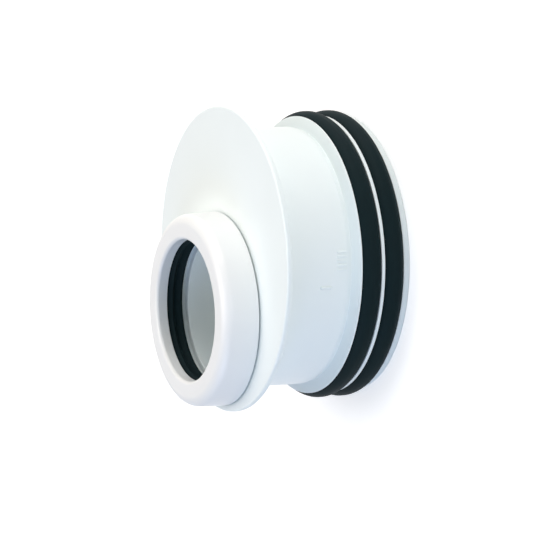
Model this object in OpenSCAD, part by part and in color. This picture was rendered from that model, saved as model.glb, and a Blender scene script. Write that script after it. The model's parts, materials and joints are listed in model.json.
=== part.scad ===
// Eccentric push-fit pipe reducer in white plastic, with black rubber seals.
// A 50 mm waste pipe slides into the socket at the top, and the spigot below goes into
// the end of a 110 mm drain pipe. The part stands on the end of its spigot: +Z runs up
// the main axis from the middle of that end, and the socket is offset towards -Y.
// All sizes are in millimetres.

/* [Flange] */
// Outside diameter of the flange, which is that of the drain pipe
flange_d = 110; // [109:0.5:114]
// Thickness of the flange
flange_t = 2.1; // [1.8:0.1:3]
// Rounding of the flange's rim
flange_edge_r = 0.7; // [0.3:0.1:0.8]
// Height of the flange's outer face above the end of the spigot
flange_z = 50.3; // [46:0.1:60]

/* [Neck and spigot] */
// Outside diameter of the neck under the flange
neck_d = 93.2; // [92:0.1:95]
// Wall thickness of the neck
neck_wall = 2.5; // [2.2:0.1:2.8]
// Fillet between the neck and the flange
neck_fillet_r = 1; // [0.5:0.1:2]
// Height at which the neck starts to flare out to the shoulder
flare_z = 21.1; // [20.6:0.1:22]
// Depth of the shallow waist just above the flare
waist_depth = 0.7; // [0.1:0.05:0.8]
// Length over which the neck thins to that waist
waist_l = 1.8; // [1:0.1:4]
// Diameter of the shoulder above the outer seals
shoulder_d = 100.5; // [99.5:0.1:101]
// Rounding of the shoulder's edge
shoulder_edge_r = 0.5; // [0.2:0.1:0.6]
// Diameter of the narrow land between the two outer seals
land_d = 100.8; // [100:0.1:101.5]
// Outside diameter of the spigot's end rim
rim_d = 100; // [99:0.1:101]
// Length of the rim below the lower seal
rim_l = 2.6; // [2:0.1:3.4]
// Rounding of the rim's outer edge
rim_edge_r = 0.8; // [0.3:0.1:1.2]
// Inside diameter of the spigot behind the seals
spigot_bore_d = 90.4; // [89:0.1:91]

/* [Outer seals] */
// Diameter over the crests of the seals, which grip the inside of the drain pipe
seal_crest_d = 104; // [103:0.1:105]
// Width of each seal along the spigot
seal_w = 7.5; // [7:0.1:8]
// Distance from one seal to the next
seal_pitch = 8.8; // [8.6:0.1:9.4]
// Radius of the seal's rounded back
seal_round_r = 4.2; // [4.1:0.1:5]
// Width of the flat on the seal's crest
seal_flat_w = 1.2; // [0.6:0.1:2]
// Diameter of the groove floors
groove_d = 95.8; // [95:0.1:96.5]

/* [Socket] */
// Bore of the socket, for a pipe 50 mm across
socket_d = 51; // [50.4:0.1:51.2]
// Wall thickness of the socket's tube inside the neck
socket_wall = 2.2; // [1.8:0.1:2.3]
// How far the bore's lowest line stands in from the neck's inner wall
invert_step = 0.35; // [0.2:0.05:0.6]
// Height of the lower end of the tube
socket_end_z = 14; // [8:0.5:20]
// How far the pipe stop reaches in from the bore
stop_w = 1.9; // [1:0.1:3]
// Thickness of the pipe stop
stop_t = 2; // [1.5:0.1:3]

/* [Cap] */
// Diameter of the cap at its foot, next to the flange
cap_d = 70; // [69.5:0.1:71]
// How much narrower the cap is where its rounded edge starts
cap_draft = 0.6; // [0:0.1:0.8]
// Height of the cap's face above the flange
cap_h = 13.9; // [13:0.1:16]
// Gap between the cap's foot and the flange
cap_gap = 0.55; // [0.3:0.05:0.8]
// Rounding of the cap's outer edge
cap_edge_r = 3.9; // [2:0.1:4.2]
// Rounding of the lead-in at the mouth
mouth_edge_r = 1.3; // [0.5:0.1:2]
// Thickness of the cap's skirt
cap_wall = 2.35; // [2.2:0.05:2.6]
// Thickness of the cap's end wall
cap_end_t = 2.4; // [2:0.1:3]
// Depth of the cap's inner collar below its face
collar_depth = 4.4; // [4:0.1:5.5]
// Thickness of the inner collar
collar_wall = 2; // [1.5:0.1:2.4]

/* [Socket seal] */
// Outside diameter of the seal, which is that of its seat in the boss
seat_d = 60.8; // [60:0.1:61]
// Height of the seat's floor above the flange
seat_floor = 3.3; // [3:0.1:3.6]
// Height of the groove under the seal, which gives its lip room to bend
lip_room_h = 2.1; // [1:0.1:2.2]
// Depth of that groove, out from the bore
lip_room_w = 2.2; // [1:0.1:2.4]
// Diameter inside the seal's lips
lip_d = 50.6; // [50.5:0.1:50.8]

/* [Moulded marks] */
// Number of short plain bars raised on the neck
mark_count = 5; // [1:1:8]
// Length of a bar along the neck
mark_l = 3.7; // [1:0.1:6]
// Height that a bar stands proud
mark_h = 0.35; // [0.1:0.05:0.4]

/* [Hidden] */

// Clearance between pieces that touch in use
fit_gap = 0.1;
// Overlap that joins or cuts solids cleanly
bite = 0.5;
// Sides of the round outlines, which only set how finely a circle is written
round_fn = 96;

neck_r = neck_d / 2;
neck_bore_r = neck_r - neck_wall;
flange_r = flange_d / 2;
flange_under_z = flange_z - flange_t;
lower_seal_z = rim_l + seal_w / 2;
upper_seal_z = lower_seal_z + seal_pitch;
shoulder_z = upper_seal_z + seal_w / 2;
spigot_bore_end_z = flare_z - 3;
spigot_bore_lead = 1;
end_chamfer = 0.6;
// Straight edge of the shoulder, before its rounding
shoulder_lip = 0.1;

socket_r = socket_d / 2;
tube_r = socket_r + socket_wall;
socket_y = -(neck_bore_r - socket_r - invert_step);
seat_r = seat_d / 2;
seat_z = flange_z + seat_floor;
seat_floor_t = 4;
core_top_z = seat_z - seat_floor_t;
lip_room_r = socket_r + lip_room_w;
lip_room_z = seat_z - lip_room_h;

cap_r = cap_d / 2;
cap_foot_z = flange_z + cap_gap;
cap_face_z = flange_z + cap_h;
cap_end_z = cap_face_z - cap_end_t;
collar_z = cap_face_z - collar_depth;
collar_r = socket_r + collar_wall;
cap_inner_r = cap_r - cap_wall;
boss_r = cap_inner_r - fit_gap;
boss_top_z = cap_end_z - 2 * fit_gap;
snap_z = flange_z + 2.6;
snap_h = 0.45;
snap_w = 1.4;
foot_chamfer = 0.3;

lip_r = lip_d / 2;
seal_floor_z = seat_z + fit_gap / 2;
seal_top_z = cap_end_z - fit_gap / 2;
seal_front_z = collar_z - fit_gap;
// Rounded tips of the seal's two lips, and the shallow valley between them
lip_tip_r = 0.5;
lip_lead = 1.3;
front_lip_z = seal_front_z - 1.9;
rear_lip_z = seal_floor_z + 0.9;
valley_depth = 0.9;
valley_z = front_lip_z - 1;

// The marks sit on the +X side of the neck, near the shoulder
mark_z = 23.3;
mark_angle = 5.4;
mark_step_angle = 1.93;
mark_w_angle = 0.9;
dash_z = 28.9;
dash_l = 4.6;
dash_w_angle = 1.7;
dash_angle = -2.6;

// Points on an arc about (r, z), from angle a0 to a1, in n equal steps
function arc(r, z, radius, a0, a1, n = 6) =
    [for (i = [0:n]) let (a = a0 + (a1 - a0) * i / n) [r + radius * cos(a), z + radius * sin(a)]];

// Half the angle that an outer seal's flat takes, and the angle of its rounded flanks
flat_angle = asin(seal_flat_w / 2 / seal_round_r);
flank_angle = asin(seal_w / 2 / seal_round_r);
seal_centre_r = seal_crest_d / 2 - seal_round_r * cos(flat_angle);

// Outline of the flange, neck and spigot, seen in section to the right of the main axis
body_outline = concat(
    [
        [0, flange_under_z],
        [neck_bore_r, flange_under_z],
        [neck_bore_r, spigot_bore_end_z],
        [spigot_bore_d / 2, spigot_bore_end_z - spigot_bore_lead],
        [spigot_bore_d / 2, end_chamfer],
        [spigot_bore_d / 2 + end_chamfer, 0],
    ],
    arc(rim_d / 2 - rim_edge_r, rim_edge_r, rim_edge_r, -90, 0),
    [
        [rim_d / 2, rim_l],
        [groove_d / 2, rim_l],
        [groove_d / 2, rim_l + seal_w],
        [land_d / 2, rim_l + seal_w],
        [land_d / 2, rim_l + seal_pitch],
        [groove_d / 2, rim_l + seal_pitch],
        [groove_d / 2, shoulder_z],
        [shoulder_d / 2, shoulder_z],
    ],
    arc(shoulder_d / 2 - shoulder_edge_r, shoulder_z + shoulder_lip, shoulder_edge_r, 0, 60, 4),
    [
        [neck_r - waist_depth, flare_z],
        [neck_r, flare_z + waist_l],
    ],
    arc(neck_r + neck_fillet_r, flange_under_z - neck_fillet_r, neck_fillet_r, 180, 90),
    arc(flange_r - flange_edge_r, flange_under_z + flange_edge_r, flange_edge_r, -90, 0),
    arc(flange_r - flange_edge_r, flange_z - flange_edge_r, flange_edge_r, 0, 90),
    [[0, flange_z]]
);

// Outline of the retaining cap, to the right of the socket's axis
cap_outline = concat(
    arc(socket_r + mouth_edge_r, cap_face_z - mouth_edge_r, mouth_edge_r, 180, 90, 8),
    arc(cap_r - cap_draft / 2 - cap_edge_r, cap_face_z - cap_edge_r, cap_edge_r, 90, 0, 12),
    [
        [cap_r, cap_foot_z + foot_chamfer],
        [cap_r - foot_chamfer, cap_foot_z],
        [cap_inner_r + foot_chamfer, cap_foot_z],
        [cap_inner_r, cap_foot_z + foot_chamfer],
        [cap_inner_r, snap_z - snap_w / 2 - snap_h],
        [cap_inner_r + snap_h, snap_z - snap_w / 2],
        [cap_inner_r + snap_h, snap_z + snap_w / 2],
        [cap_inner_r, snap_z + snap_w / 2 + snap_h],
        [cap_inner_r, cap_end_z],
        [collar_r, cap_end_z],
        [collar_r, collar_z],
        [socket_r, collar_z],
    ]
);

// Outline of the socket seal: a block held in the seat, with two lips towards the pipe
socket_seal_outline = concat(
    [
        [seat_r - fit_gap, seal_floor_z],
        [seat_r - fit_gap, seal_top_z],
        [collar_r + fit_gap, seal_top_z],
        [collar_r + fit_gap, seal_front_z],
        [lip_r + lip_lead, seal_front_z],
    ],
    arc(lip_r + lip_tip_r, front_lip_z, lip_tip_r, 150, 220, 4),
    [[lip_r + valley_depth, valley_z]],
    arc(lip_r + lip_tip_r, rear_lip_z, lip_tip_r, 140, 220, 4),
    [[lip_r + lip_lead / 2, seal_floor_z]]
);

// Outline of an outer seal whose middle is at height z
function spigot_seal_outline(z) = concat(
    [[groove_d / 2, z - seal_w / 2]],
    arc(seal_centre_r, z, seal_round_r, -flank_angle, -flat_angle, 7),
    arc(seal_centre_r, z, seal_round_r, flat_angle, flank_angle, 7),
    [[groove_d / 2, z + seal_w / 2]]
);

// Turns an outline about the main axis
module turned(outline) {
    rotate_extrude($fn = round_fn)
        polygon(outline);
}

// Moves its children onto the socket's axis
module on_socket_axis() {
    translate([0, socket_y, 0])
        children();
}

// Ring about the socket's axis, between two radii and two heights
module ring(inner_r, outer_r, z0, z1) {
    difference() {
        translate([0, 0, z0])
            cylinder(r = outer_r, h = z1 - z0, $fn = round_fn);
        translate([0, 0, z0 - bite])
            cylinder(r = inner_r, h = z1 - z0 + 2 * bite, $fn = round_fn);
    }
}

// Tube of the socket below the flange, and the boss above it that the cap snaps over
module socket_outside() {
    on_socket_axis() {
        translate([0, 0, socket_end_z])
            cylinder(r = tube_r, h = flange_z - socket_end_z, $fn = round_fn);
        translate([0, 0, flange_under_z])
            cylinder(r = boss_r, h = boss_top_z - flange_under_z, $fn = round_fn);
        turned([
            [boss_r - bite, snap_z - snap_w / 2 - snap_h],
            [boss_r, snap_z - snap_w / 2 - snap_h + fit_gap],
            [boss_r + snap_h, snap_z - snap_w / 2 + fit_gap],
            [boss_r + snap_h, snap_z + snap_w / 2 - fit_gap],
            [boss_r, snap_z + snap_w / 2 + snap_h - fit_gap],
            [boss_r - bite, snap_z + snap_w / 2 + snap_h],
        ]);
    }
}

// Bore of the socket down to the pipe stop, with the seat of the seal and the groove below it
module socket_inside() {
    on_socket_axis() {
        translate([0, 0, socket_end_z + stop_t])
            cylinder(r = socket_r, h = cap_face_z, $fn = round_fn);
        translate([0, 0, socket_end_z - bite])
            cylinder(r = socket_r - stop_w, h = cap_face_z, $fn = round_fn);
        translate([0, 0, seat_z])
            cylinder(r = seat_r, h = cap_face_z, $fn = round_fn);
        translate([0, 0, lip_room_z])
            cylinder(r = lip_room_r, h = cap_face_z, $fn = round_fn);
    }
}

// Pocket under the boss that keeps its wall thin, kept inside the neck
module boss_core() {
    intersection() {
        on_socket_axis()
            ring(tube_r, seat_r, flange_under_z - bite, core_top_z);
        cylinder(r = neck_bore_r, h = cap_face_z, $fn = round_fn);
    }
}

// Short raised bar that follows the neck's wall
module neck_bar(angle, span, z, l) {
    rotate([0, 0, angle])
        rotate_extrude(angle = span, $fn = round_fn)
            translate([neck_r - bite, z])
                square([bite + mark_h, l]);
}

// One plastic moulding: flange, neck, spigot, socket tube and the boss for the cap
module reducer_body() {
    color("whitesmoke")
        union() {
            difference() {
                union() {
                    turned(body_outline);
                    socket_outside();
                }
                socket_inside();
                boss_core();
            }
            for (i = [0:mark_count - 1])
                neck_bar(mark_angle + i * mark_step_angle, mark_w_angle, mark_z, mark_l);
            neck_bar(dash_angle, dash_w_angle, dash_z, dash_l);
        }
}

// Cap that snaps over the boss and holds the socket seal in its seat
module retaining_cap() {
    color("white")
        on_socket_axis()
            turned(cap_outline);
}

// Rubber ring that seals the waste pipe
module socket_seal() {
    color("dimgray")
        on_socket_axis()
            turned(socket_seal_outline);
}

// Rubber ring in a groove of the spigot
module spigot_seal(z) {
    color([0.12, 0.13, 0.14])
        turned(spigot_seal_outline(z));
}

module upper_spigot_seal() {
    spigot_seal(upper_seal_z);
}

module lower_spigot_seal() {
    spigot_seal(lower_seal_z);
}

reducer_body();
retaining_cap();
socket_seal();
upper_spigot_seal();
lower_spigot_seal();
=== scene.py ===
# %% [markdown]
# # An eccentric push-fit pipe reducer
#
# The real object is a bathroom and drainage fitting: white moulded plastic with black rubber
# seals. Its flanged spigot pushes into the end of a 110 mm drain pipe, and a 50 mm waste pipe
# pushes into the small socket, which sits low on the flange. Nearly everything on it was turned
# in a mould, so this lesson is mostly about outlines that are spun about an axis, and about
# joining turned shapes whose axes are not the same.

# %% The frame and its box
import json
import math

import bpy
from mathutils import Matrix, Vector

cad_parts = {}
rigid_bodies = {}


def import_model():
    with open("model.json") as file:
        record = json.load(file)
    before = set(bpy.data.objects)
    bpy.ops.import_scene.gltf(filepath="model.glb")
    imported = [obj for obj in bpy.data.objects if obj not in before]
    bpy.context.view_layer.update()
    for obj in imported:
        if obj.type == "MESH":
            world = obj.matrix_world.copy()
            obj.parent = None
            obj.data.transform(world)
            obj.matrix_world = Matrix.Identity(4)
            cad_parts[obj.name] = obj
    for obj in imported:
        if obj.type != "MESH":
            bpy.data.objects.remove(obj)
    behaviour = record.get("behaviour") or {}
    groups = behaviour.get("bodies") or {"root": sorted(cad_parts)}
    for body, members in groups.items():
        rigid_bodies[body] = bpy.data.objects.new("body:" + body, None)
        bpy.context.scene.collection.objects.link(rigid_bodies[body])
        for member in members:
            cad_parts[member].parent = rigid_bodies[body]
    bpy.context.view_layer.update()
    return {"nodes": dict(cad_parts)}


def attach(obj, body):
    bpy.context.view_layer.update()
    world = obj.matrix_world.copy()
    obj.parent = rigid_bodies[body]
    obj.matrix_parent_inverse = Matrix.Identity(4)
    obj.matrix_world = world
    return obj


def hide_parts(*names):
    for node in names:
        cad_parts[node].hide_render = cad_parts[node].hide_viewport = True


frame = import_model()
print("CAD nodes:", sorted(frame["nodes"]))

# %% [markdown]
# ## Sizes
#
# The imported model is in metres, and a drawing of such a part is in millimetres. One helper does
# the conversion, and the sizes that several pieces share are named once here. They repeat the
# sizes of the CAD part, so every new piece lands exactly where its solid is.

# %% Units and shared sizes
MM = 0.001

TURN_STEPS = 192          # sides of a full turn: the rim then strays 0.007 mm from a circle
FIT_GAP = 0.1             # clearance between pieces that touch

FLANGE_R = 55.0
FLANGE_TOP_Z = 50.3
FLANGE_UNDER_Z = 48.2
NECK_R = 46.6
NECK_BORE_R = 44.1
SOCKET_Y = -18.25         # how far the socket's axis stands from the main axis
SOCKET_R = 25.5


def in_metres(r, z, axis_y=0.0):
    """A point of an outline, r and z in millimetres, as a place in the frame."""
    return Vector((r, axis_y, z)) * MM


# %% [markdown]
# ## Outlines with rounded corners
#
# A moulded edge is never sharp, and the thin line of light along a rounded edge is most of what
# tells plastic from cardboard. An outline could be drawn point by point with each arc worked out
# by hand, or the finished solid could be bevelled. Here each corner is given as (r, z, radius)
# and the arc is laid in before the outline is spun, which keeps each edge at its own size and
# makes clean rings of faces.

# %% Rounding an outline
def fillet(before, corner, after, radius, steps):
    """The points of an arc that rounds one corner of an outline."""
    corner = Vector(corner)
    back = (Vector(before) - corner).normalized()
    on = (Vector(after) - corner).normalized()
    half = math.acos(max(-1.0, min(1.0, back.dot(on)))) / 2
    reach = radius / math.tan(half)
    centre = corner + (back + on).normalized() * (radius / math.sin(half))
    start = corner + back * reach - centre
    sweep = start.angle_signed(corner + on * reach - centre)
    points = []
    for i in range(steps + 1):
        angle = -sweep * i / steps
        spoke = Matrix.Rotation(angle, 2) @ start
        points.append(tuple(centre + spoke))
    return points


def rounded_outline(corners, closed=True, steps=5):
    """Lays an arc into each corner (r, z, radius) and returns the points as (r, z)."""
    points = []
    for i, (r, z, radius) in enumerate(corners):
        ends = not closed and i in (0, len(corners) - 1)
        if radius == 0 or ends:
            points.append((r, z))
            continue
        before = corners[i - 1][:2]
        after = corners[(i + 1) % len(corners)][:2]
        points += fillet(before, (r, z), after, radius, steps)
    return points


rounded_square = rounded_outline([(1, 0, 0.2), (2, 0, 0.2), (2, 1, 0.2), (1, 1, 0.2)])
print("a rounded square has", len(rounded_square), "points")

# %% [markdown]
# ## Spinning an outline
#
# The workshop way to make a round part is a lathe. In Blender the same thing is done by drawing
# half a section and using Spin. The outline is drawn as by hand: a plane is merged down to one
# point, that point is extruded from corner to corner, and the line is spun a full turn. Doubles
# are merged before the normals are recalculated, because a seam that isn't joined has no inside.

# %% The lathe
def deselect_all():
    bpy.ops.object.select_all(action="DESELECT")


def make_active(piece):
    deselect_all()
    piece.select_set(True)
    bpy.context.view_layer.objects.active = piece


def close_up(piece):
    """Merges doubles and turns every face outwards."""
    make_active(piece)
    bpy.ops.object.mode_set(mode="EDIT")
    bpy.ops.mesh.select_all(action="SELECT")
    bpy.ops.mesh.remove_doubles(threshold=0.002 * MM)
    bpy.ops.mesh.normals_make_consistent(inside=False)
    bpy.ops.object.mode_set(mode="OBJECT")


def turned(name, outline, axis_y=0.0, closed=True):
    """Spins an outline about an upright axis. A closed outline makes a ring."""
    deselect_all()
    bpy.ops.mesh.primitive_plane_add(size=MM, location=in_metres(*outline[0], axis_y))
    piece = bpy.context.object
    piece.name = name
    bpy.ops.object.transform_apply(location=True, rotation=True, scale=True)
    bpy.ops.object.mode_set(mode="EDIT")
    bpy.ops.mesh.select_all(action="SELECT")
    bpy.ops.mesh.merge(type="CENTER")
    path = outline + outline[:1] if closed else outline
    for here, there in zip(path, path[1:]):
        step = in_metres(*there) - in_metres(*here)
        bpy.ops.mesh.extrude_region_move(TRANSFORM_OT_translate={"value": step})
    bpy.ops.mesh.select_all(action="SELECT")
    bpy.ops.mesh.spin(
        steps=TURN_STEPS,
        angle=math.tau,
        center=in_metres(0, 0, axis_y),
        axis=(0, 0, 1),
    )
    bpy.ops.object.mode_set(mode="OBJECT")
    close_up(piece)
    print(name, "turned:", len(piece.data.polygons), "faces")
    return piece


# %% [markdown]
# ## Cutting and joining
#
# The socket is off centre, so the body can't be one spun outline. The choices are to bridge loops
# of edges by hand, which is slow where a tube runs into a curved wall, or to use Boolean
# modifiers, which is what the mould maker's own drawing does. The exact solver keeps the flat
# faces flat. The finish is the same for every piece: smooth shading that stops at real corners,
# and weighted normals, which keep a big flat face flat right up to its rounded edge.

# %% Booleans and finish
def combine(piece, other, operation):
    """Joins another solid to a piece, or cuts it away, and removes the other solid."""
    make_active(piece)
    modifier = piece.modifiers.new("combine", "BOOLEAN")
    modifier.operation = operation
    modifier.solver = "EXACT"
    modifier.object = other
    bpy.ops.object.modifier_apply(modifier=modifier.name)
    bpy.data.objects.remove(other)
    return piece


def smooth_finish(piece, corner_degrees=32):
    make_active(piece)
    bpy.ops.object.shade_smooth_by_angle(angle=math.radians(corner_degrees))
    weighted = piece.modifiers.new("weighted", "WEIGHTED_NORMAL")
    weighted.keep_sharp = True
    weighted.weight = 100
    bpy.ops.object.modifier_apply(modifier=weighted.name)
    return piece


# %% [markdown]
# ## The body: flange, neck and spigot
#
# From the socket's side the main moulding is a thin round flange, a plain neck with a shallow
# waist at its end, a short flare out to a shoulder, and a spigot with two grooves for the rubber
# rings. All of that shares the main axis, so it is one open outline from the axis under the
# flange, down the inside, round the end and up the outside, and back to the axis on the flange's
# face.

# %% Main outline
SPIGOT_BORE_R = 45.2
RIM_R = 50.0
RIM_L = 2.6
GROOVE_R = 47.9
LAND_R = 50.4
SHOULDER_R = 50.25
FLARE_Z = 21.1
WAIST_DEPTH = 0.7
WAIST_L = 1.8
SEAL_W = 7.5
SEAL_PITCH = 8.8
SHOULDER_Z = RIM_L + SEAL_PITCH + SEAL_W

main_corners = [
    (0, FLANGE_UNDER_Z, 0),
    (NECK_BORE_R, FLANGE_UNDER_Z, 0.8),
    (NECK_BORE_R, FLARE_Z - 3, 1.5),
    (SPIGOT_BORE_R, FLARE_Z - 4, 1.5),
    (SPIGOT_BORE_R, 0.6, 0.2),
    (SPIGOT_BORE_R + 0.6, 0, 0.2),
    (RIM_R, 0, 0.8),
    (RIM_R, RIM_L, 0.2),
    (GROOVE_R, RIM_L, 0),
    (GROOVE_R, RIM_L + SEAL_W, 0),
    (LAND_R, RIM_L + SEAL_W, 0.18),
    (LAND_R, RIM_L + SEAL_PITCH, 0.18),
    (GROOVE_R, RIM_L + SEAL_PITCH, 0),
    (GROOVE_R, SHOULDER_Z, 0),
    (SHOULDER_R, SHOULDER_Z, 0.18),
    (SHOULDER_R, SHOULDER_Z + 0.5, 0.35),
    (NECK_R - WAIST_DEPTH, FLARE_Z, 0.4),
    (NECK_R, FLARE_Z + WAIST_L, 1.5),
    (NECK_R, FLANGE_UNDER_Z, 1.0),
    (FLANGE_R, FLANGE_UNDER_Z, 0.7),
    (FLANGE_R, FLANGE_TOP_Z, 0.7),
    (0, FLANGE_TOP_Z, 0),
]
body = turned("body_moulding", rounded_outline(main_corners, closed=False), closed=False)

# %% [markdown]
# ## The body: socket and boss
#
# The socket is a tube that runs down inside the neck, with a stop ring near its lower end, and a
# short thick boss above the flange that carries the seal's seat. Under the seat a groove gives
# the seal's lip room to bend, and its lower edge is the fine dark line behind the seal. The tube
# turns about its own axis, 18.25 mm off the main one, so it is a second turned ring that is then
# joined to the first. A narrow pocket under the boss keeps the wall thin there, as in the mould.

# %% Socket sleeve
CAP_INNER_R = 32.65
BOSS_R = CAP_INNER_R - FIT_GAP
BOSS_TOP_Z = 61.6
SEAT_R = 30.4
SEAT_Z = 53.6
LIP_ROOM_R = 27.7
LIP_ROOM_Z = 51.5
TUBE_R = 27.7
TUBE_END_Z = 14.0
STOP_R = 23.6
STOP_TOP_Z = 16.0
SNAP_Z = 52.9             # middle of the bead that the cap snaps over
SNAP_W = 1.4
SNAP_H = 0.45


def snap_corners(r, ease, rounding):
    """Corners of the bead on a wall of radius r, or of the recess that takes it."""
    half_top = SNAP_W / 2 - ease
    half_foot = half_top + SNAP_H
    return [
        (r, SNAP_Z - half_foot, 0),
        (r + SNAP_H, SNAP_Z - half_top, rounding),
        (r + SNAP_H, SNAP_Z + half_top, rounding),
        (r, SNAP_Z + half_foot, 0),
    ]


BOSS_FOOT_Z = 49.2        # inside the flange, so that the two solids join
sleeve_corners = [
    (STOP_R, TUBE_END_Z, 0.3),
    (TUBE_R, TUBE_END_Z, 0.3),
    (TUBE_R, BOSS_FOOT_Z, 0),
    (BOSS_R, BOSS_FOOT_Z, 0),
    *snap_corners(BOSS_R, FIT_GAP, 0.1),
    (BOSS_R, BOSS_TOP_Z, 0.3),
    (SEAT_R, BOSS_TOP_Z, 0.3),
    (SEAT_R, SEAT_Z, 0.2),
    (LIP_ROOM_R, SEAT_Z, 0.2),
    (LIP_ROOM_R, LIP_ROOM_Z, 0.2),
    (SOCKET_R, LIP_ROOM_Z, 0.15),
    (SOCKET_R, STOP_TOP_Z, 0.2),
    (STOP_R, STOP_TOP_Z, 0.3),
]
sleeve = turned("sleeve", rounded_outline(sleeve_corners, steps=3), SOCKET_Y)

# %% Hole and pocket, and the body put together
HOLE_R = 26.5             # inside the sleeve's wall, so that the sleeve fills its edge again
POCKET_TOP_Z = 49.6


def plug(name, r, z0, z1, axis_y=0.0):
    """A solid cylinder about an upright axis, used to cut with."""
    return turned(name, [(0, z0), (r, z0), (r, z1), (0, z1)], axis_y, closed=False)


hole = plug("hole", HOLE_R, 46, 53, SOCKET_Y)
pocket_corners = [(TUBE_R, 45), (SEAT_R, 45), (SEAT_R, POCKET_TOP_Z), (TUBE_R, POCKET_TOP_Z)]
pocket = turned("pocket", pocket_corners, SOCKET_Y)
pocket_limit = plug("limit", NECK_BORE_R, 44, 55)

combine(pocket, pocket_limit, "INTERSECT")
combine(body, hole, "DIFFERENCE")
combine(body, sleeve, "UNION")
combine(body, pocket, "DIFFERENCE")
close_up(body)
smooth_finish(body)
print("body:", len(body.data.polygons), "faces")

# %% [markdown]
# ## The cap
#
# A separate cap snaps over the boss and holds the seal in its seat. It leaves a crisp dark line
# at its foot, which is the one place in the photo where the two mouldings can be told apart. Its
# outer edge has a generous round, the mouth has a lead-in for the pipe, and the skirt has a
# slight draft, so the outline leans by 0.4 mm.

# %% Cap
CAP_R = 35.0
CAP_LEAN = 0.39
CAP_FOOT_Z = 50.85
CAP_FACE_Z = 64.2
CAP_END_Z = 61.8
CAP_EDGE_R = 3.9
MOUTH_EDGE_R = 1.3
COLLAR_R = 27.5
COLLAR_Z = 59.8

cap_corners = [
    (SOCKET_R, CAP_FACE_Z, MOUTH_EDGE_R),
    (CAP_R - CAP_LEAN, CAP_FACE_Z, CAP_EDGE_R),
    (CAP_R, CAP_FOOT_Z, 0.25),
    (CAP_INNER_R, CAP_FOOT_Z, 0.25),
    *snap_corners(CAP_INNER_R, 0, 0),
    (CAP_INNER_R, CAP_END_Z, 0.1),
    (COLLAR_R, CAP_END_Z, 0.1),
    (COLLAR_R, COLLAR_Z, 0.3),
    (SOCKET_R, COLLAR_Z, 0.3),
]
cap = turned("snap_cap", rounded_outline(cap_corners, steps=12), SOCKET_Y)
smooth_finish(cap)

# %% [markdown]
# ## The rubber seals
#
# The seal in the socket is a block with two lips that point at the pipe, and the two outer seals
# are plain rings with a rounded back and a narrow flat on the crest. Rubber is moulded in one go
# with no draft, so each is one closed outline that is spun into a ring.

# %% Arc of an outline
def arc(r, z, radius, start_degrees, end_degrees, steps):
    """Points on an arc about (r, z)."""
    points = []
    for i in range(steps + 1):
        angle = math.radians(start_degrees + (end_degrees - start_degrees) * i / steps)
        points.append((r + radius * math.cos(angle), z + radius * math.sin(angle)))
    return points


# %% Socket seal
LIP_R = 25.3
TIP_R = 0.5               # rounded tip of each lip
SEAL_OUTER_R = SEAT_R - FIT_GAP
SEAL_FLOOR_Z = SEAT_Z + FIT_GAP / 2
SEAL_TOP_Z = CAP_END_Z - FIT_GAP / 2
SEAL_STEP_R = COLLAR_R + FIT_GAP
SEAL_FRONT_Z = COLLAR_Z - FIT_GAP

lip_outline = (
    [
        (SEAL_OUTER_R, SEAL_FLOOR_Z),
        (SEAL_OUTER_R, SEAL_TOP_Z),
        (SEAL_STEP_R, SEAL_TOP_Z),
        (SEAL_STEP_R, SEAL_FRONT_Z),
        (LIP_R + 1.3, SEAL_FRONT_Z),
    ]
    + arc(LIP_R + TIP_R, 57.8, TIP_R, 120, 230, 8)
    + [(LIP_R + 0.85, 56.9), (LIP_R + 0.8, 56.0)]
    + arc(LIP_R + TIP_R, 54.55, TIP_R, 130, 230, 8)
    + [(LIP_R + 0.65, SEAL_FLOOR_Z)]
)
lip_seal = turned("lip_seal", lip_outline, SOCKET_Y)
smooth_finish(lip_seal, corner_degrees=40)

# %% Outer seals
CREST_R = 52.0
CREST_FLAT_W = 1.2
SEAL_ROUND_R = 4.2
flat_degrees = math.degrees(math.asin(CREST_FLAT_W / 2 / SEAL_ROUND_R))
flank_degrees = math.degrees(math.asin(SEAL_W / 2 / SEAL_ROUND_R))
round_centre_r = CREST_R - SEAL_ROUND_R * math.cos(math.radians(flat_degrees))


def outer_seal(name, foot_z):
    middle_z = foot_z + SEAL_W / 2
    outline = (
        [(GROOVE_R, foot_z)]
        + arc(round_centre_r, middle_z, SEAL_ROUND_R, -flank_degrees, -flat_degrees, 12)
        + arc(round_centre_r, middle_z, SEAL_ROUND_R, flat_degrees, flank_degrees, 12)
        + [(GROOVE_R, foot_z + SEAL_W)]
    )
    return smooth_finish(turned(name, outline), corner_degrees=40)


upper_seal = outer_seal("upper_ring", RIM_L + SEAL_PITCH)
lower_seal = outer_seal("lower_ring", RIM_L)

# %% [markdown]
# ## Raised marks on the neck
#
# The real neck has a few lines of small raised marks near the shoulder. They stand for nothing
# here, so they are plain short bars and one longer dash. Each is a block whose edges are bevelled
# and which is sunk into the wall, and it is turned about the main axis to its place.

# %% Marks
MARK_COUNT = 5
MARK_STEP_DEGREES = 1.93
PROUD = 0.35
SUNK = 0.5


def neck_bar(angle_degrees, width_degrees, z, length, rounding):
    """A short raised bar on the neck, from angle to angle + width."""
    width = math.radians(width_degrees) * NECK_R
    deselect_all()
    bpy.ops.mesh.primitive_cube_add(
        size=1,
        location=in_metres(NECK_R + (PROUD - SUNK) / 2, z + length / 2),
        scale=Vector((PROUD + SUNK, width, length)) * MM,
    )
    bar = bpy.context.object
    bpy.ops.object.transform_apply(location=True, rotation=True, scale=True)
    bpy.ops.object.mode_set(mode="EDIT")
    bpy.ops.mesh.select_all(action="SELECT")
    bpy.ops.mesh.bevel(offset=rounding * MM, segments=3)
    bpy.ops.object.mode_set(mode="OBJECT")
    bar.data.transform(Matrix.Rotation(math.radians(angle_degrees + width_degrees / 2), 4, "Z"))
    return bar


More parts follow.
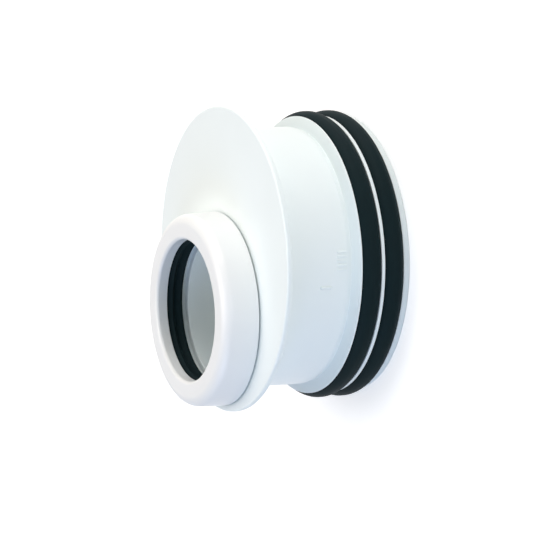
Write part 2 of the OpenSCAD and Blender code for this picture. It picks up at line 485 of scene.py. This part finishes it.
bars = []
for i in range(MARK_COUNT):
    bars.append(neck_bar(5.4 + MARK_STEP_DEGREES * i, 0.9, z=23.3, length=3.7, rounding=0.2))
bars.append(neck_bar(-2.6, 1.7, z=28.9, length=4.6, rounding=0.6))
deselect_all()
for bar in bars:
    bar.select_set(True)
bpy.context.view_layer.objects.active = bars[0]
bpy.ops.object.join()
marks = bpy.context.object
marks.name = "neck_marks"
smooth_finish(marks)
print("marks:", len(marks.data.polygons), "faces")

# %% [markdown]
# ## Colours and nodes
#
# Colours are picked the way a paint chart gives them, as sRGB hex, and one function turns them to
# the linear values that shaders use. One more small function adds a node with its settings and
# its links, so that each material below reads as a short list of what it is made of.

# %% Helpers for materials
def linear(hex_colour):
    """An sRGB hex colour as linear RGBA."""
    channels = []
    for i in (1, 3, 5):
        c = int(hex_colour[i:i + 2], 16) / 255
        channels.append(c / 12.92 if c <= 0.04045 else ((c + 0.055) / 1.055) ** 2.4)
    return (*channels, 1.0)


def add_node(tree, kind, settings=None, **inputs):
    """Adds a node. Settings are its properties. Inputs are values, or sockets to link from.

    An input goes by its name with _ for each space, or by its number as _0, _1 and so on.
    """
    node = tree.nodes.new(kind)
    for name, value in (settings or {}).items():
        setattr(node, name, value)
    for name, value in inputs.items():
        by_name = node.inputs.get(name.replace("_", " "))
        socket = by_name or node.inputs[int(name[1:])]
        if isinstance(value, bpy.types.NodeSocket):
            tree.links.new(value, socket)
        else:
            socket.default_value = value
    return node


def new_material(name):
    material = bpy.data.materials.new(name)
    material.use_nodes = True
    material.node_tree.nodes.clear()
    return material


def per_mm(size_mm):
    """Scale of a noise whose blotches are about size_mm across, on coordinates in metres."""
    return 1 / (size_mm * MM)


def wear(piece, material, body_name):
    piece.data.materials.clear()
    piece.data.materials.append(material)
    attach(piece, body_name)


# %% [markdown]
# ## Moulded white plastic
#
# The body is injection-moulded polypropylene, which is how such fittings are made. Straight from
# a polished mould it has a soft sheen: broad highlights, not mirror ones. What gives it away up
# close is a very faint unevenness, from the way that the melt flowed and shrank, over 10 to 15 mm,
# and a finer one over 2 to 3 mm. The broad noise shifts the colour by about one part in a hundred,
# drives the roughness and gives a broad bump, and the finer one adds a faint bump of its own.

# %% White plastic
def moulded_plastic(name, light_hex, shade_hex, roughness_low, roughness_high):
    material = new_material(name)
    tree = material.node_tree
    place = add_node(tree, "ShaderNodeTexCoord").outputs["Object"]
    flow = add_node(tree, "ShaderNodeTexNoise", Vector=place, Scale=per_mm(14), Detail=2.0)
    skin = add_node(tree, "ShaderNodeTexNoise", Vector=place, Scale=per_mm(2.5), Detail=1.0)
    tint = add_node(
        tree, "ShaderNodeMix", {"data_type": "RGBA"},
        _0=flow.outputs["Fac"], _6=linear(shade_hex), _7=linear(light_hex),
    )
    gloss = add_node(
        tree, "ShaderNodeMapRange",
        Value=flow.outputs["Fac"], To_Min=roughness_low, To_Max=roughness_high,
    )
    broad = add_node(
        tree, "ShaderNodeBump",
        Strength=0.25, Distance=0.05 * MM, Height=flow.outputs["Fac"],
    )
    fine = add_node(
        tree, "ShaderNodeBump",
        Strength=0.05, Distance=0.01 * MM,
        Height=skin.outputs["Fac"], Normal=broad.outputs["Normal"],
    )
    shader = add_node(
        tree, "ShaderNodeBsdfPrincipled",
        Base_Color=tint.outputs[2], Roughness=gloss.outputs["Result"], IOR=1.49,
        Normal=fine.outputs["Normal"],
    )
    add_node(tree, "ShaderNodeOutputMaterial", Surface=shader.outputs["BSDF"])
    return material


body_plastic = moulded_plastic("moulded_polypropylene_body", "#EEF6F5", "#EBF3F2", 0.29, 0.35)
cap_plastic = moulded_plastic("moulded_polypropylene_cap", "#EDEFEE", "#EAECEB", 0.30, 0.38)
print("white plastics made")

# %% [markdown]
# ## Black rubber
#
# The seals are moulded EPDM rubber, filled with carbon black. It is nearly black, a little green
# in daylight, with a wide dull sheen, because the mould's fine grain shows on its skin. The grain
# of the real one is about 0.1 mm, which is finer than a pixel here, so it is drawn at 0.5 mm. A
# low specular level and a fairly high roughness keep the ring's edges dark against the white.

# %% Rubber
def moulded_rubber(name):
    material = new_material(name)
    tree = material.node_tree
    place = add_node(tree, "ShaderNodeTexCoord").outputs["Object"]
    grain = add_node(tree, "ShaderNodeTexNoise", Vector=place, Scale=per_mm(0.5), Detail=2.0)
    dust = add_node(tree, "ShaderNodeTexNoise", Vector=place, Scale=per_mm(6), Detail=4.0)
    tint = add_node(
        tree, "ShaderNodeMix", {"data_type": "RGBA"},
        _0=dust.outputs["Fac"], _6=linear("#0B1A1D"), _7=linear("#102124"),
    )
    gloss = add_node(
        tree, "ShaderNodeMapRange",
        Value=dust.outputs["Fac"], To_Min=0.54, To_Max=0.66,
    )
    skin = add_node(
        tree, "ShaderNodeBump",
        Strength=0.3, Distance=0.02 * MM, Height=grain.outputs["Fac"],
    )
    shader = add_node(
        tree, "ShaderNodeBsdfPrincipled",
        Base_Color=tint.outputs[2], Roughness=gloss.outputs["Result"],
        IOR=1.5, Specular_IOR_Level=0.07, Normal=skin.outputs["Normal"],
    )
    add_node(tree, "ShaderNodeOutputMaterial", Surface=shader.outputs["BSDF"])
    return material


rubber = moulded_rubber("moulded_epdm_rubber")
print("rubber made")

# %% Pieces take their finish and their place
wear(body, body_plastic, "root")
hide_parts("reducer_body")
wear(marks, body_plastic, "root")
wear(cap, cap_plastic, "root")
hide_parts("retaining_cap")
wear(lip_seal, rubber, "root")
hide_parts("socket_seal")
wear(upper_seal, rubber, "root")
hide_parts("upper_spigot_seal")
wear(lower_seal, rubber, "root")
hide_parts("lower_spigot_seal")

# %% [markdown]
# ## The floor
#
# The part stands on the end of its spigot on a plain white disc. A floor that is white only by
# its paint would come out grey, so the camera sees a little glow added to it, which doesn't light
# the object. The paint under the glow still takes the object's shadow. The disc ends where the
# lamps still light it fully. Beyond it the background is as white, so a low camera sees no edge.

# %% Floor
FLOOR_R = 0.6             # in metres


def seen_directly(tree):
    """1 for rays from the camera, or that a gloss or glass passes on, and 0 for other light."""
    rays = add_node(tree, "ShaderNodeLightPath").outputs
    first = add_node(
        tree, "ShaderNodeMath", {"operation": "MAXIMUM"},
        _0=rays["Is Camera Ray"], _1=rays["Is Glossy Ray"],
    )
    both = add_node(
        tree, "ShaderNodeMath", {"operation": "MAXIMUM"},
        _0=first.outputs[0], _1=rays["Is Transmission Ray"],
    )
    return both.outputs[0]


def painted_floor(name, paint_hex, glow):
    material = new_material(name)
    tree = material.node_tree
    paint = add_node(tree, "ShaderNodeBsdfDiffuse", Color=linear(paint_hex))
    strength = add_node(
        tree, "ShaderNodeMath", {"operation": "MULTIPLY"}, _0=seen_directly(tree), _1=glow
    )
    light = add_node(tree, "ShaderNodeEmission", Strength=strength.outputs[0])
    both = add_node(
        tree, "ShaderNodeAddShader", _0=paint.outputs["BSDF"], _1=light.outputs["Emission"]
    )
    add_node(tree, "ShaderNodeOutputMaterial", Surface=both.outputs["Shader"])
    return material


deselect_all()
bpy.ops.mesh.primitive_circle_add(
    vertices=96, radius=FLOOR_R, fill_type="NGON", location=(0, 0, 0)
)
floor = bpy.context.object
floor.name = "floor"
floor.data.materials.append(painted_floor("white_paper", "#E6E6E6", 0.5))
print("floor made")

# %% [markdown]
# ## Camera
#
# In the photo the fitting lies on its side, and the camera looks at its flank from the socket's
# end. The frame has it standing, so the camera is rolled instead of the part: its own up is close
# to the frame's +Y. The lens is long, which keeps the ellipses of the two ends nearly alike.

# %% Camera
CAMERA_PLACE = Vector((1.15379, 0.27282, 0.58383))
CAMERA_FORWARD = Vector((-0.881272, -0.212256, -0.422265))
CAMERA_UP = Vector((-0.210856, 0.976205, -0.050641))

camera_data = bpy.data.cameras.new("camera")
camera_data.lens = 241.36
camera_data.sensor_width = 36
camera_data.clip_start = 0.01
camera = bpy.data.objects.new("camera", camera_data)
bpy.context.scene.collection.objects.link(camera)
camera_right = CAMERA_FORWARD.cross(CAMERA_UP)
turn = Matrix((camera_right, CAMERA_UP, -CAMERA_FORWARD)).transposed()
camera.matrix_world = Matrix.Translation(CAMERA_PLACE) @ turn.to_4x4()
bpy.context.scene.camera = camera
print("camera at", [round(x, 3) for x in CAMERA_PLACE])

# %% [markdown]
# ## Light
#
# The photo has the light of a plain studio tent. A large softbox hangs above, and another stands
# on the side that the socket faces. Both are a little warm. A fill between that side and the
# camera reaches into the socket, a weaker one stands near the camera, and a low strip lights the
# rings. A bluish bounce from below is what makes the neck's lower half look blue. Lamps are placed
# by how far they stand up, to the left and towards the camera as the photo is seen. Their power is
# set so that the whitest plastic stays just under pure white.

# %% Lamps and world
TARGET = Vector((0, 0, 0.032))


def soft_lamp(name, up, left, near, width, height, power, colour_hex):
    """A softbox that faces the object from a direction given as the camera sees it."""
    distance = 1.4
    way = (CAMERA_UP * up - camera_right * left - CAMERA_FORWARD * near).normalized()
    data = bpy.data.lights.new(name, "AREA")
    data.shape = "RECTANGLE"
    data.size = width
    data.size_y = height
    data.energy = power
    data.color = linear(colour_hex)[:3]
    lamp = bpy.data.objects.new(name, data)
    bpy.context.scene.collection.objects.link(lamp)
    lamp.location = TARGET + way * distance
    lamp.rotation_euler = (-way).to_track_quat("-Z", "Y").to_euler()
    return lamp


soft_lamp("top_softbox", 1.0, 0.12, 0.2, 1.5, 1.3, 19.3, "#FFF9F5")
soft_lamp("left_softbox", 0.05, 1.0, 0.32, 0.9, 0.9, 11.3, "#FFF3EA")
soft_lamp("left_fill", 0.1, 0.8, 1.0, 0.9, 0.9, 3.4, "#FAFBFF")
soft_lamp("front_fill", 0.05, -0.22, 1.0, 0.9, 0.9, 0.8, "#F4F8FF")
soft_lamp("front_strip", 0.05, -0.45, 1.0, 0.9, 0.06, 3.7, "#F4F8FF")
soft_lamp("low_bounce", -0.95, 0.3, 0.5, 0.9, 0.9, 7.5, "#C8DAFF")

world = bpy.data.worlds.new("studio_tent")
bpy.context.scene.world = world
world.use_nodes = True
sky = world.node_tree
sky.nodes.clear()
tent = add_node(sky, "ShaderNodeBackground", Color=linear("#DFF6FF"), Strength=0.12)
white = add_node(sky, "ShaderNodeBackground", Color=(1, 1, 1, 1), Strength=1.0)
pick = add_node(
    sky, "ShaderNodeMixShader",
    _0=seen_directly(sky), _1=tent.outputs["Background"], _2=white.outputs["Background"],
)
add_node(sky, "ShaderNodeOutputWorld", Surface=pick.outputs["Shader"])

bpy.context.scene.view_settings.view_transform = "Standard"
print("lamps and world made")
